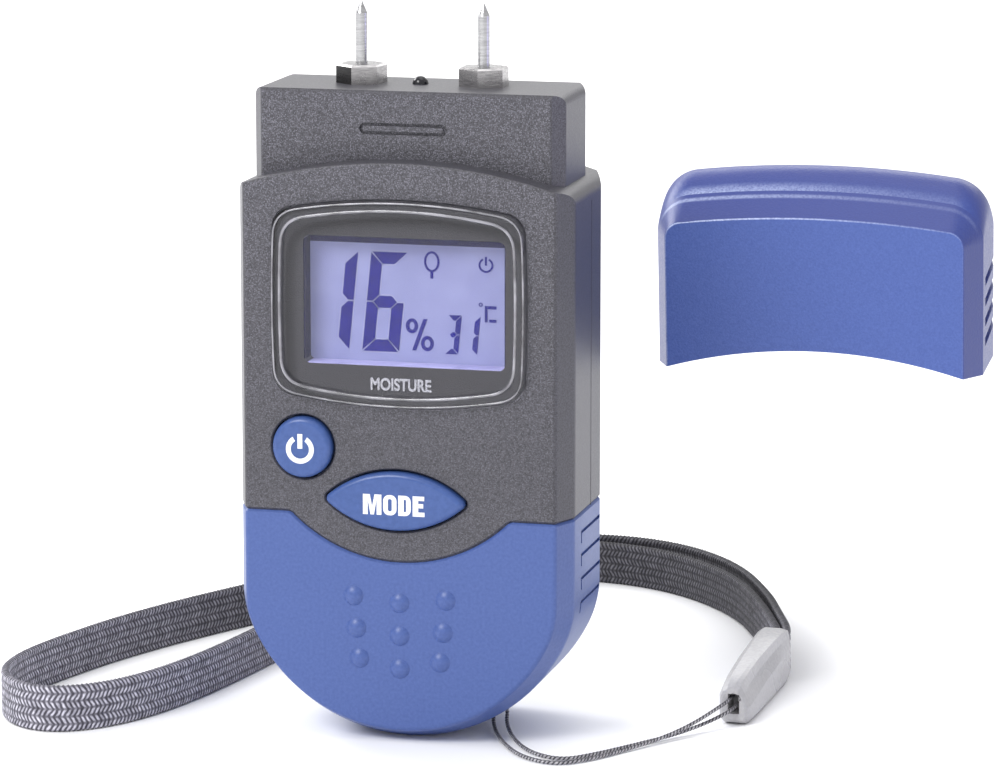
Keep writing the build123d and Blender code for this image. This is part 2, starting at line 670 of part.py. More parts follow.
def bead_axis():
    """Direction along the bead from its front end to its rear end."""
    return (Vector(*BEAD_REAR, 0) - Vector(*BEAD_FRONT, 0)).normalized()


def strap_bead():
    """Faceted bead: flat underneath, rising towards its rear, and blunt at both ends."""
    length = (Vector(*BEAD_REAR, 0) - Vector(*BEAD_FRONT, 0)).length
    sections = []
    for share, wide, low, high in BEAD_STATIONS:
        plane = Plane(origin=(0, share * length, (low + high) / 2), z_dir=(0, 1, 0), x_dir=(1, 0, 0))
        sections.append(plane * RectangleRounded(wide, high - low, 1.2))
    body = loft(sections, ruled=True)
    hole = block((-1.1, 1.1), (-1, STRAND_IN_BEAD - 0.4), BEAD_HOLE)
    turn = -math.degrees(math.atan2(BEAD_REAR[0] - BEAD_FRONT[0], BEAD_REAR[1] - BEAD_FRONT[1]))
    return Pos(*BEAD_FRONT, 0) * Rot(0, 0, turn) * (body - hole)


# ---- build -------------------------------------------------------------------------------
def all_parts():
    front_shell, rear_shell = shell_pair()
    parts = {"front_shell": front_shell, "rear_shell": rear_shell, "boot": boot(),
             "display_lens": display_lens()}
    parts.update(display_stack())
    parts["main_board"] = main_board()
    parts["controller_chip"] = block((-7, 7), (BOARD_BACK, BOARD_BACK + 1.4), (22, 32))
    parts["power_switch"] = tact_switch(POWER_AT)
    parts["mode_switch"] = tact_switch(MODE_AT)
    parts["power_button"] = button(round_shape, POWER_AT)
    parts["mode_button"] = button(eye_shape, MODE_AT)
    parts.update(electrodes())
    parts["temperature_sensor"] = temperature_sensor()
    parts.update(battery_parts())
    parts["battery_cover"] = battery_cover()
    parts["case_screws"] = Compound([screw(x, z, seat_of((x, z)), 2.0, 1.4, 1.0, 13.0)
                                     for x, z in CASE_SCREWS])
    parts["board_screws"] = Compound([screw(x, z, BOARD_BACK, 1.5, 1.1, 0.8, 5.0)
                                      for x, z in BOARD_SCREWS])
    parts["cap"] = cap()
    parts["wrist_band"] = wrist_band()
    parts["strap_bead"] = strap_bead()
    for name in STRAND_ROUTES:
        parts["lanyard_cord_" + name] = strand(name)
    return parts


os.makedirs("parts", exist_ok=True)
for node, shape in all_parts().items():
    export_step(shape, "parts/" + node + ".step")
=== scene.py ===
import math

import bmesh
import bpy
import numpy as np
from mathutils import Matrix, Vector


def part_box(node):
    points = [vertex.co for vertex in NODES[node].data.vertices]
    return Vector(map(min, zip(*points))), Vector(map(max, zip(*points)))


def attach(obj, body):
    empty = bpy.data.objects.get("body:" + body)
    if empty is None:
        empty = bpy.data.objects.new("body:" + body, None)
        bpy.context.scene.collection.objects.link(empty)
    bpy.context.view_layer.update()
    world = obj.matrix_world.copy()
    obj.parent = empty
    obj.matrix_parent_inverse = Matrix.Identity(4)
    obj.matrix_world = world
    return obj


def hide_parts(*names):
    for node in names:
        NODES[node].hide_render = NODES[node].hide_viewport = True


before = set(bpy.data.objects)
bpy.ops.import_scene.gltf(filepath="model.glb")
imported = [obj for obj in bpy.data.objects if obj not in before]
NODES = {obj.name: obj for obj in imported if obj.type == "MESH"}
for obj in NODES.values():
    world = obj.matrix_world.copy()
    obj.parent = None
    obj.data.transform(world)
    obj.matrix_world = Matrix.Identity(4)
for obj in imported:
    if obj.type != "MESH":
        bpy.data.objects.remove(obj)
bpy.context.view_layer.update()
MM = 0.001

# ---- camera ------------------------------------------------------------------------------
camera_data = bpy.data.cameras.new("camera")
camera_data.sensor_width = 36.0
camera_data.lens = 169.14
camera = bpy.data.objects.new("camera", camera_data)
camera.location = (0.1644, -0.6120, 0.1654)
camera.rotation_euler = (math.radians(79.486), 0.0, math.radians(14.08))
bpy.context.scene.collection.objects.link(camera)
bpy.context.scene.camera = camera

# ---- strap routes, millimetres -----------------------------------------------------------
# The band stands on edge on the floor, so its route is flat.
BAND_ROUTE = [
    (42.75, 35.03), (42.9, 39.4), (40.4, 47.0), (36.6, 57.6), (31.0, 70.6), (22.6, 81.6),
    (12.6, 89.0), (0.0, 91.4), (-12.5, 86.5), (-22.5, 73.5), (-26.6, 52.0), (-29.8, 28.3),
    (-34.0, 4.0), (-39.4, -11.5), (-46.5, -18.5), (-53.2, -17.4), (-58.2, -10.6), (-59.2, -2.0),
    (-57.2, 8.5), (-51.4, 27.0), (-40.8, 48.5), (-26.5, 72.0), (-11.0, 90.5), (3.5, 96.6),
    (17.2, 93.0), (29.0, 80.6), (37.0, 62.6), (40.6, 51.4), (43.3, 43.4), (44.27, 38.6),
    (44.15, 34.98)]
STRAND_ROUTES = {
    "a": [(10.3, 0.0, 3.6), (10.3, 0.0, 2.0), (10.6, -1.9, 1.1), (12.0, -5.6, 0.5),
          (14.8, -11.4, 0.36), (18.6, -16.8, 0.36), (23.6, -19.0, 0.36), (27.6, -15.4, 0.36),
          (31.6, -8.6, 0.36), (35.6, -2.8, 0.9), (38.6, 1.2, 2.0), (40.7, 4.6, 3.1),
          (41.95, 7.6, 3.7), (42.06, 10.6, 3.7)],
    "b": [(12.2, 0.0, 3.8), (12.2, 0.0, 2.2), (12.5, -1.9, 1.3), (13.8, -5.2, 0.6),
          (16.4, -10.4, 0.36), (19.8, -14.8, 0.36), (24.0, -16.6, 0.36), (27.6, -12.7, 0.36),
          (31.8, -6.5, 0.36), (35.8, -0.9, 0.5), (39.1, 2.9, 1.2), (41.5, 5.5, 2.1),
          (42.75, 7.6, 2.7), (42.86, 10.6, 2.7)]}
BAND_WIDTH = 6.6
BAND_HALF = 0.5             # half the band's thickness, without the weave's relief
BAND_ROWS = 6               # rows of stitches across the band
WEAVE_PITCH = 0.66          # length of one stitch of the band
WEAVE_SLANT = 0.9           # how far a stitch leans across its row, in stitches
ROW_BULGE = 0.07            # how far a row of the band stands out at its middle
STITCH_RELIEF = 0.05
EDGE_ROUNDING = 0.3         # share of an outer row that the band's rounded edge takes
EDGE_SCALLOP = 0.08
EDGE_MARGIN = 0.12          # what the scallops need of the band's width
STRAND_CORE = 0.25          # radius of a strand without its weave's relief
STRAND_PITCH = 0.62
STRAND_RELIEF = 0.03
BEAD_FRONT = (42.5, 8.0)    # ends of the bead's middle line on the floor
BEAD_REAR = (43.5, 35.0)


# ---- general helpers ---------------------------------------------------------------------
def srgb(red, green, blue):
    """Linear colour from screen values of 0 to 255."""
    linear = []
    for value in (red / 255, green / 255, blue / 255):
        linear.append(value / 12.92 if value <= 0.04045 else ((value + 0.055) / 1.055) ** 2.4)
    return (*linear, 1.0)


def piece(name, points, faces, material, body="root", smooth=False):
    """New mesh piece from points in millimetres, riding on a body."""
    mesh = bpy.data.meshes.new(name)
    mesh.from_pydata([tuple(c * MM for c in point) for point in points], [], faces)
    work = bmesh.new()
    work.from_mesh(mesh)
    bmesh.ops.recalc_face_normals(work, faces=work.faces)
    work.to_mesh(mesh)
    work.free()
    if smooth:
        mesh.shade_smooth()
    mesh.materials.append(material)
    obj = bpy.data.objects.new(name, mesh)
    bpy.context.scene.collection.objects.link(obj)
    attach(obj, body)
    return obj


# ---- materials ---------------------------------------------------------------------------
# A pair of lengths is where a change of colour starts and ends.
GRAIN_TOP = (88.95 * MM, 89.1 * MM)         # height where the shell's grain ends
GLINT_RISE = (40.0 * MM, 80.0 * MM)         # heights between which its glints grow
PAINTED_LIGHT_FROM = (-11.5 * MM, -11.2 * MM)        # flat faces behind this y get painted light: ledge and back
PAINTED_LIGHT_TOP = (75.0 * MM, 75.4 * MM)           # and only below this height
CAP_TILT = math.radians(6)
CAP_LEVEL = (0.0, math.cos(CAP_TILT), math.sin(CAP_TILT))       # across the cap's thickness
CAP_CREASE = 44.03 * MM                     # upper edge of its front bevel, along CAP_LEVEL
CAP_HIGHLIGHT_FADE = (30 * MM, 66 * MM)            # x between which the cap's painted highlights fade to the right
WEAVE_SHADE = (-5 * MM, 60 * MM)             # y between which painted shade darkens the straps to the back


def node(tree, kind, inputs=None, **settings):
    """New node; an input is either a socket to link or a value to set."""
    made = tree.nodes.new(kind)
    for key, value in settings.items():
        setattr(made, key, value)
    for key, value in (inputs or {}).items():
        if isinstance(value, bpy.types.NodeSocket):
            tree.links.new(value, made.inputs[key])
        else:
            made.inputs[key].default_value = value
    return made


def math_node(tree, operation, first, second=None):
    inputs = {0: first}
    if second is not None:
        inputs[1] = second
    return node(tree, "ShaderNodeMath", inputs, operation=operation).outputs[0]


def times(tree, first, *others):
    """Product of several values."""
    for other in others:
        first = math_node(tree, "MULTIPLY", first, other)
    return first


def without_sign(tree, value):
    return math_node(tree, "ABSOLUTE", value)


def split(tree, vector):
    """The X, Y and Z of a vector."""
    return node(tree, "ShaderNodeSeparateXYZ", {"Vector": vector}).outputs


def mix(tree, share, first, second):
    """Blend of two colours."""
    inputs = {"Fac": share, "Color1": first, "Color2": second}
    return node(tree, "ShaderNodeMixRGB", inputs).outputs[0]


def ramp(tree, factor, stops):
    """Colour ramp from a list of (position, colour)."""
    made = node(tree, "ShaderNodeValToRGB", {"Fac": factor})
    elements = made.color_ramp.elements
    while len(elements) < len(stops):
        elements.new(0.5)
    for element, (place, colour) in zip(elements, stops):
        element.position = place
        element.color = colour
    return made.outputs["Color"]


def span(tree, value, from_low, from_high, to_low, to_high, smooth=False):
    """One range of values stretched onto another."""
    made = node(tree, "ShaderNodeMapRange",
                {"Value": value, "From Min": from_low, "From Max": from_high,
                 "To Min": to_low, "To Max": to_high})
    if smooth:
        made.interpolation_type = "SMOOTHSTEP"
    return made.outputs["Result"]


def noise(tree, coordinates, grain, detail=2.0, roughness=0.5):
    """Noise whose grain is given in millimetres."""
    made = node(tree, "ShaderNodeTexNoise", {"Vector": coordinates, "Scale": 1 / (grain * MM),
                                             "Detail": detail, "Roughness": roughness})
    return made.outputs["Fac"]


def start(name):
    """New material with its tree, its Principled shader and object coordinates."""
    material = bpy.data.materials.new(name)
    material.use_nodes = True
    tree = material.node_tree
    shader = tree.nodes["Principled BSDF"]
    coordinates = tree.nodes.new("ShaderNodeTexCoord")
    return material, tree, shader, coordinates


def join(tree, source, shader, socket):
    tree.links.new(source, shader.inputs[socket])


def emboss(tree, shader, height, strength, depth):
    """Fine relief on the surface, its depth in millimetres."""
    bump = node(tree, "ShaderNodeBump", {"Height": height, "Strength": strength,
                                         "Distance": depth * MM})
    join(tree, bump.outputs[0], shader, "Normal")


def set_all(shader, values):
    for key, value in values.items():
        shader.inputs[key].default_value = value


def plastic(name, dark, light, grain=0.3, rough=(0.36, 0.46), relief=0.02, **extra):
    """Moulded plastic: fine mottled colour, uneven gloss and a slight skin texture."""
    material, tree, shader, coordinates = start(name)
    place = coordinates.outputs["Object"]
    fine = noise(tree, place, grain)
    broad = noise(tree, place, 14.0, 1.0)
    join(tree, ramp(tree, fine, [(0.3, dark), (0.7, light)]), shader, "Base Color")
    join(tree, span(tree, broad, 0.3, 0.7, *rough), shader, "Roughness")
    emboss(tree, shader, fine, 0.5, relief)
    set_all(shader, extra)
    return material


def metal(name, dark, light, stretch, rough=(0.22, 0.36), relief=0.01, left=1.0):
    """Bare metal with tool marks; stretch scales the coordinates, so marks run along small axes.
    left is how much colour the facets facing left keep; the rest is painted shade, near black,
    standing in for the dark reflection those facets should show."""
    material, tree, shader, coordinates = start(name)
    mapping = node(tree, "ShaderNodeMapping", {"Vector": coordinates.outputs["Object"],
                                               "Scale": stretch})
    marks = noise(tree, mapping.outputs[0], 0.5, 3.0)
    stain = noise(tree, coordinates.outputs["Object"], 3.0, 2.0)
    facing = split(tree, coordinates.outputs["Normal"])
    # painted shade: facets facing left are darkened towards near black
    unshaded_share = span(tree, facing["X"], -0.62, -0.52, left, 1.0, True)
    bare = ramp(tree, marks, [(0.3, dark), (0.7, light)])
    join(tree, mix(tree, unshaded_share, srgb(20, 20, 22), bare), shader, "Base Color")
    join(tree, span(tree, stain, 0.3, 0.7, *rough), shader, "Roughness")
    emboss(tree, shader, marks, 0.4, relief)
    set_all(shader, {"Metallic": 1.0})
    return material


def shell_material(name):
    """Charcoal moulding: fine grain in front and behind with painted glints that grow with height,
    smoother bevels, and painted shade with a blue tint on the sides. The ledge round the raised
    face and the back below the head get painted light."""
    material, tree, shader, coordinates = start(name)
    place = coordinates.outputs["Object"]
    axes = split(tree, place)
    facing = split(tree, coordinates.outputs["Normal"])
    forward = without_sign(tree, facing["Y"])
    front = span(tree, forward, 0.9, 0.99, 0.3, 1.0, True)
    below_top = span(tree, axes["Z"], *GRAIN_TOP, 1.0, 0.15, True)
    amount = times(tree, front, below_top)
    grain = noise(tree, place, 0.22, 2.0, 0.8)
    cells = node(tree, "ShaderNodeTexVoronoi", {"Vector": place, "Scale": 1 / (0.19 * MM)})
    lucky = node(tree, "ShaderNodeSeparateColor", {"Color": cells.outputs["Color"]}).outputs[0]
    near_middle = span(tree, cells.outputs["Distance"], 0.2, 0.7, 1.0, 0.0, True)
    higher = span(tree, axes["Z"], *GLINT_RISE, 0.35, 0.75)
    # painted glints: pale specks on faces facing the front or back, more of them higher up
    glint = times(tree, lucky, near_middle, amount, higher)
    base = ramp(tree, grain, [(0.34, srgb(44, 43, 48)), (0.66, srgb(82, 81, 89))])
    sparkling = mix(tree, glint, base, srgb(138, 137, 150))
    # painted light: flat faces set back behind the front and below the head are lightened, standing
    # in for the window's reflection over the ledge; the back gets it too
    set_back = span(tree, axes["Y"], *PAINTED_LIGHT_FROM, 0.0, 1.0)
    below_head = span(tree, axes["Z"], *PAINTED_LIGHT_TOP, 1.0, 0.0)
    square = span(tree, forward, 0.95, 0.99, 0.0, 1.0)
    pale = times(tree, set_back, below_head, square)
    with_painted_light = mix(tree, times(tree, pale, 0.6), sparkling, srgb(150, 149, 158))
    # painted shade with a painted blue reflection: faces facing the sides darken towards blue
    side_shade = span(tree, without_sign(tree, facing["X"]), 0.9, 0.99, 0.0, 0.35)
    join(tree, mix(tree, side_shade, with_painted_light, srgb(38, 38, 62)), shader, "Base Color")
    join(tree, span(tree, grain, 0.3, 0.7, 0.3, 0.46), shader, "Roughness")
    emboss(tree, shader, times(tree, grain, amount), 0.9, 0.11)
    return material


def cap_material(name, dark, light):
    """Blue cap: grainy, with upward and sideways faces deeper under painted shade, and painted
    highlights along the rounded edges and the bevel's crease, fading to the right.
    """
    material, tree, shader, coordinates = start(name)
    place = coordinates.outputs["Object"]
    facing = split(tree, coordinates.outputs["Normal"])
    fine = noise(tree, place, 0.3, 2.0, 0.7)
    flat = ramp(tree, fine, [(0.3, dark), (0.7, light)])
    # painted shade: upward and sideways faces darken towards deep blue
    lifted = span(tree, facing["Z"], 0.3, 0.9, 1.0, 0.3, True)
    sideways = span(tree, without_sign(tree, facing["X"]), 0.3, 0.95, 1.0, 0.3, True)
    painted_shade_blue = mix(tree, times(tree, lifted, sideways), srgb(10, 22, 108), flat)
    forward = without_sign(tree, facing["Y"])
    # painted highlights: light lines along the rounded edges and the crease at the bevel's top
    edge = times(tree, span(tree, forward, 0.62, 0.78, 0.0, 1.0, True),
                 span(tree, forward, 0.93, 0.99, 1.0, 0.0, True))
    upper = span(tree, facing["Z"], 0.15, 0.35, 0.25, 1.0, True)
    level = node(tree, "ShaderNodeVectorMath", {0: place, 1: CAP_LEVEL},
                 operation="DOT_PRODUCT").outputs["Value"]
    from_crease = without_sign(tree, math_node(tree, "SUBTRACT", level, CAP_CREASE))
    crease = times(tree, span(tree, from_crease, 0.1 * MM, 0.5 * MM, 0.5, 0.0, True),
                   span(tree, facing["Z"], 0.2, 0.6, 0.0, 1.0, True))
    highlight_fade = span(tree, split(tree, place)["X"], *CAP_HIGHLIGHT_FADE, 1.0, 0.25, True)
    highlight_lines = math_node(tree, "MAXIMUM", times(tree, edge, upper), crease)
    painted_highlight = times(tree, highlight_lines, highlight_fade, span(tree, fine, 0.35, 0.6, 0.45, 1.0))
    join(tree, mix(tree, painted_highlight, painted_shade_blue, srgb(190, 202, 238)), shader, "Base Color")
    join(tree, span(tree, fine, 0.3, 0.7, 0.28, 0.42), shader, "Roughness")
    emboss(tree, shader, fine, 0.7, 0.07)
    return material


def clear_plastic(name):
    """Clear window: lets light straight through for shadows, with faint moulding ripples."""
    material, tree, shader, coordinates = start(name)
    ripple = noise(tree, coordinates.outputs["Object"], 9.0, 1.0)
    join(tree, ramp(tree, ripple, [(0.3, (0.93, 0.94, 0.97, 1)), (0.7, (0.98, 0.98, 1.0, 1))]),
         shader, "Base Color")
    join(tree, span(tree, ripple, 0.3, 0.7, 0.02, 0.05), shader, "Roughness")
    set_all(shader, {"Transmission Weight": 1.0, "IOR": 1.36})
    clear = node(tree, "ShaderNodeBsdfTransparent")
    rays = node(tree, "ShaderNodeLightPath")
    mixer = node(tree, "ShaderNodeMixShader", {0: rays.outputs["Is Shadow Ray"],
                                               1: shader.outputs[0], 2: clear.outputs[0]})
    out = tree.nodes["Material Output"]
    tree.links.new(mixer.outputs[0], out.inputs["Surface"])
    return material


def glowing(name, dark, light, grain, strength, rough=0.35):
    """Glowing surface: the same soft colour as its body colour and its light. The display is
    backlit; on the window's wall strips and the dark display strips the glow is painted light.
    """
    material, tree, shader, coordinates = start(name)
    cloud = noise(tree, coordinates.outputs["Object"], grain, 2.0)
    colour = ramp(tree, cloud, [(0.3, dark), (0.7, light)])
    join(tree, colour, shader, "Base Color")
    join(tree, colour, shader, "Emission Color")
    join(tree, span(tree, cloud, 0.3, 0.7, rough, rough + 0.08), shader, "Roughness")
    set_all(shader, {"Emission Strength": strength, "Specular IOR Level": 0.05})
    return material


def woven(name, ground, gap, fleck_dark, fleck_light, cover):
    """Braid drawn in its own coordinates: u counts stitches along, v counts rows across.
    Neighbouring rows slant opposite ways, so the stitches interlock. cover is how much of its
    pitch a stitch fills."""
    material, tree, shader, coordinates = start(name)
    layout = node(tree, "ShaderNodeUVMap", uv_map="weave")
    axes = split(tree, layout.outputs[0])
    row = math_node(tree, "FRACT", axes["Y"])
    lean = times(tree, math_node(tree, "PINGPONG", axes["Y"], 1.0), WEAVE_SLANT)
    place = coordinates.outputs["Object"]
    stray = span(tree, noise(tree, place, 1.1, 1.0), 0.2, 0.8, -0.18, 0.18)
    travel = math_node(tree, "ADD", axes["X"], math_node(tree, "ADD", lean, stray))
    stitch = math_node(tree, "FRACT", travel)
    from_middle = without_sign(tree, math_node(tree, "SUBTRACT", stitch, 0.5))
    length_part = span(tree, from_middle, cover / 2 - 0.2, cover / 2 + 0.06, 1.0, 0.0, True)
    across = without_sign(tree, math_node(tree, "SUBTRACT", row, 0.5))
    width_part = span(tree, across, 0.2, 0.46, 1.0, 0.25, True)
    flecks = times(tree, length_part, width_part)
    wear = noise(tree, place, 0.9, 3.0)
    light = ramp(tree, wear, [(0.35, fleck_dark), (0.65, fleck_light)])
    dark = ramp(tree, wear, [(0.3, gap), (0.7, ground)])
    # painted shade: the straps darken towards near black to the back
    painted_shade = span(tree, split(tree, place)["Y"], *WEAVE_SHADE, 1.0, 0.2)
    shaded_weave = mix(tree, painted_shade, srgb(14, 13, 17), mix(tree, flecks, dark, light))
    join(tree, shaded_weave, shader, "Base Color")
    join(tree, span(tree, flecks, 0.0, 1.0, 0.8, 0.5), shader, "Roughness")
    emboss(tree, shader, flecks, 0.7, 0.1)
    set_all(shader, {"Sheen Weight": 0.03, "Sheen Roughness": 0.4})
    return material


CHARCOAL = shell_material("charcoal")
BOOT_BLUE = plastic("boot_blue", srgb(62, 84, 144), srgb(72, 94, 155), 0.4, (0.34, 0.42), 0.02)
CAP_BLUE = cap_material("cap_blue", srgb(62, 85, 155), srgb(76, 99, 170))
BUTTON_BLUE = plastic("button_blue", srgb(54, 80, 138), srgb(62, 88, 148), 0.6, (0.28, 0.36), 0.008)
CLEAR = clear_plastic("clear_window")
LCD_LIGHT = glowing("lcd_light", srgb(114, 117, 158), srgb(128, 131, 170), 7.0, 0.38)
LCD_INK = glowing("lcd_ink", srgb(10, 8, 98), srgb(18, 15, 110), 1.5, 0.45)
LCD_HALO = glowing("lcd_halo", srgb(122, 125, 158), srgb(134, 137, 170), 3.0, 0.38)
# dark, faintly glowing material of the strips over the display; the top strip is painted shadow
SHADOW_MASK_INK = glowing("shadow_mask_ink", srgb(8, 6, 66), srgb(15, 12, 82), 3.0, 0.2)
# one material in a shaded and a lit copy: painted shade and painted light for the window's walls
LINER_SHADE = glowing("liner_painted_shade", srgb(5, 4, 48), srgb(10, 8, 66), 2.0, 0.15)
LINER_LIT = glowing("liner_painted_light", srgb(132, 130, 176), srgb(156, 154, 196), 3.0, 0.4)
WHITE_PRINT = plastic("white_print", srgb(226, 228, 236), srgb(240, 242, 248), 0.4, (0.4, 0.5),
                      0.006)
GREY_PRINT = plastic("grey_print", srgb(168, 168, 178), srgb(190, 190, 198), 0.4, (0.4, 0.5),
                     0.006)
FRAME_GREY = plastic("frame_grey", srgb(64, 64, 70), srgb(78, 78, 85), 0.4)
GUIDE = plastic("light_guide", srgb(206, 212, 228), srgb(222, 228, 240), 0.8, (0.2, 0.3), 0.005)
RUBBER = plastic("rubber", srgb(40, 38, 40), srgb(58, 54, 56), 0.4, (0.6, 0.75), 0.03)
BOARD_GREEN = plastic("board_green", srgb(14, 66, 40), srgb(26, 92, 54), 0.8, (0.3, 0.45), 0.02)
CHIP_BLACK = plastic("chip_black", srgb(26, 26, 28), srgb(40, 40, 44), 0.3, (0.45, 0.6), 0.02)
SWITCH_GREY = plastic("switch_grey", srgb(58, 58, 62), srgb(82, 82, 88), 0.4)
TRAY = plastic("tray", srgb(44, 44, 48), srgb(60, 60, 64), 0.4)
SENSOR = plastic("sensor_glaze", srgb(16, 16, 22), srgb(30, 30, 38), 0.5, (0.08, 0.16), 0.004)
BEAD_GREY = plastic("bead_grey", srgb(160, 159, 162), srgb(172, 171, 174), 0.5, (0.24, 0.32), 0.02)
PIN_STEEL = metal("pin_steel", (0.40, 0.40, 0.41, 1), (0.60, 0.60, 0.61, 1), (0.2, 0.2, 2.5),
                  (0.2, 0.32), 0.01)
# painted shade: the collars' left facets keep only 0.12 of their colour
NICKEL = metal("nickel", (0.30, 0.29, 0.30, 1), (0.52, 0.51, 0.51, 1), (0.4, 0.4, 3.0),
               (0.22, 0.34), 0.02, 0.12)
RIM_HIGHLIGHT = plastic("rim_painted_highlight", srgb(62, 61, 68), srgb(150, 149, 158), 3.0, (0.1, 0.2), 0.02,
                    **{"Coat Weight": 1.0, "Coat IOR": 1.8, "Coat Roughness": 0.08})
BRASS = metal("brass", (0.55, 0.40, 0.16, 1), (0.72, 0.55, 0.26, 1), (0.5, 0.5, 4.0))
CELL_STEEL = metal("cell_steel", (0.55, 0.55, 0.56, 1), (0.72, 0.72, 0.73, 1), (3.0, 1.0, 0.6))
SPRING = metal("spring_metal", (0.52, 0.50, 0.46, 1), (0.68, 0.66, 0.60, 1), (1.0, 1.0, 4.0))
SCREW = metal("screw_steel", (0.32, 0.32, 0.34, 1), (0.52, 0.52, 0.54, 1), (2.0, 1.0, 2.0))
BAND = woven("band_weave", srgb(92, 90, 102), srgb(52, 50, 60), srgb(154, 152, 166),
             srgb(214, 212, 226), 0.62)
STRAND = woven("cord_weave", srgb(72, 70, 78), srgb(44, 42, 48), srgb(150, 148, 155),
               srgb(200, 199, 203), 0.66)


# ---- cords -------------------------------------------------------------------------------
def route_line(name, points):
    """Points along the smooth line that a route's spline draws."""
    curve = bpy.data.curves.new(name + "_route", "CURVE")
    curve.dimensions = "3D"
    curve.resolution_u = 32
    spline = curve.splines.new("NURBS")
    spline.points.add(len(points) - 1)
    for control, point in zip(spline.points, points):
        control.co = (*[c * MM for c in point], 1.0)
    spline.order_u = 3
    spline.use_endpoint_u = True
    holder = bpy.data.objects.new(name + "_route", curve)
    bpy.context.scene.collection.objects.link(holder)
    bpy.context.view_layer.update()
    mesh = bpy.data.meshes.new_from_object(holder)
    line = np.array([v.co for v in mesh.vertices])
    bpy.data.objects.remove(holder)
    bpy.data.curves.remove(curve)
    bpy.data.meshes.remove(mesh)
    return line


def even(line, step):
    """The same line with evenly spaced points, and the distance along it at each."""
    runs = np.linalg.norm(np.diff(line, axis=0), axis=1)
    reached = np.concatenate([[0.0], np.cumsum(runs)])
    count = int(round(reached[-1] / step)) + 1
    wanted = np.linspace(0.0, reached[-1], count)
    return np.column_stack([np.interp(wanted, reached, line[:, k]) for k in range(3)]), wanted


def travel_of(line):
    """Direction of travel at each point."""
    travel = np.gradient(line, axis=0)
    return travel / np.linalg.norm(travel, axis=1)[:, None]


def swept(name, rings, layouts, material):
    """Closed skin over a run of equal rings. layouts holds the weave's coordinates, with one more
    point round each ring than rings has, so that the weave closes."""
    stations, around = rings.shape[:2]
    faces, corners = [], []
    for i in range(stations - 1):
        for k in range(around):
            n = (k + 1) % around
            here = i * around
            ahead = here + around
            faces.append((here + k, here + n, ahead + n, ahead + k))
            corners += [layouts[i][k], layouts[i][k + 1], layouts[i + 1][k + 1], layouts[i + 1][k]]
    faces.append(tuple(range(around)))
    corners += [layouts[0][k] for k in range(around)]
    faces.append(tuple((stations - 1) * around + k for k in reversed(range(around))))
    corners += [layouts[-1][k] for k in reversed(range(around))]
    mesh = bpy.data.meshes.new(name)
    mesh.from_pydata(rings.reshape(-1, 3).tolist(), [], faces)
    weave = mesh.uv_layers.new(name="weave")
    weave.data.foreach_set("uv", np.array(corners, np.float32).ravel())
    mesh.shade_smooth()
    mesh.materials.append(material)
    obj = bpy.data.objects.new(name, mesh)
    bpy.context.scene.collection.objects.link(obj)
    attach(obj, "root")
    return obj


def band():
    """Flat braid on edge: rows of slanted stitches raised on both faces, scalloped edges."""
    line = route_line("wrist_band", [(x, y, BAND_WIDTH / 2) for x, y in BAND_ROUTE])
    centres, reached = even(line, 0.24 * MM)
    travel = travel_of(centres)
    outward = np.column_stack([-travel[:, 1], travel[:, 0], np.zeros(len(travel))])
    stitches = reached / (WEAVE_PITCH * MM)
    per_row = 4
    across = np.linspace(0, BAND_ROWS, BAND_ROWS * per_row + 1)
    rings, layouts = [], []
    for face in (1, -1):
        for v in (across if face > 0 else across[::-1]):
            row = v % 1.0
            bulge = ROW_BULGE * math.sin(math.pi * row)
            edge = min(v, BAND_ROWS - v)
            rounded = BAND_HALF * (1 - 0.75 * max(0.0, 1 - edge / EDGE_ROUNDING) ** 2)
            slant = 1.0 - abs(v % 2.0 - 1.0)
            phase = 2 * math.pi * (stitches + WEAVE_SLANT * slant)
            raised = STITCH_RELIEF * math.sin(math.pi * row) * np.cos(phase - math.pi)
            scallop = EDGE_SCALLOP * np.cos(phase) * (edge < 0.01) * (1 if v > 1 else -1)
            height = (v / BAND_ROWS - 0.5) * (BAND_WIDTH - EDGE_MARGIN) + scallop
            offset = face * (rounded + bulge + raised) * MM
            rings.append(centres + outward * offset[:, None]
                         + np.column_stack([np.zeros((len(centres), 2)), height * MM]))
            layouts.append(np.column_stack([stitches, np.full(len(stitches), v)]))
    layouts.append(layouts[0])
    obj = swept("wrist_band_weave", np.stack(rings, 1), np.stack(layouts, 1), BAND)
    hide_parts("wrist_band")
    return obj


def strand(name):
    """Thin round braid with two rows of stitches round it."""
    line = route_line("strand_" + name, STRAND_ROUTES[name])
    centres, reached = even(line, 0.1 * MM)
    travel = travel_of(centres)
    around = 12
    side = np.cross(travel[0], (1.0, 0.0, 0.0))
    sides = []
    for direction in travel:
        side = side - direction * np.dot(side, direction)
        side = side / np.linalg.norm(side)
        sides.append(side)
    sides = np.array(sides)
    others = np.cross(travel, sides)
    stitches = reached / (STRAND_PITCH * MM)
    rings, layouts = [], []
    for k in range(around + 1):
        angle = 2 * math.pi * k / around
        turns = 2.0 * k / around
        phase = 2 * math.pi * (stitches + WEAVE_SLANT * (turns % 1.0))
        radius = (STRAND_CORE + STRAND_RELIEF * np.cos(phase)) * MM
        outward = sides * math.cos(angle) + others * math.sin(angle)
        rings.append(centres + radius[:, None] * outward)
        layouts.append(np.column_stack([stitches, np.full(len(stitches), turns)]))
    obj = swept("strand_" + name, np.stack(rings[:-1], 1), np.stack(layouts, 1), STRAND)
    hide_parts("lanyard_cord_" + name)
    return obj


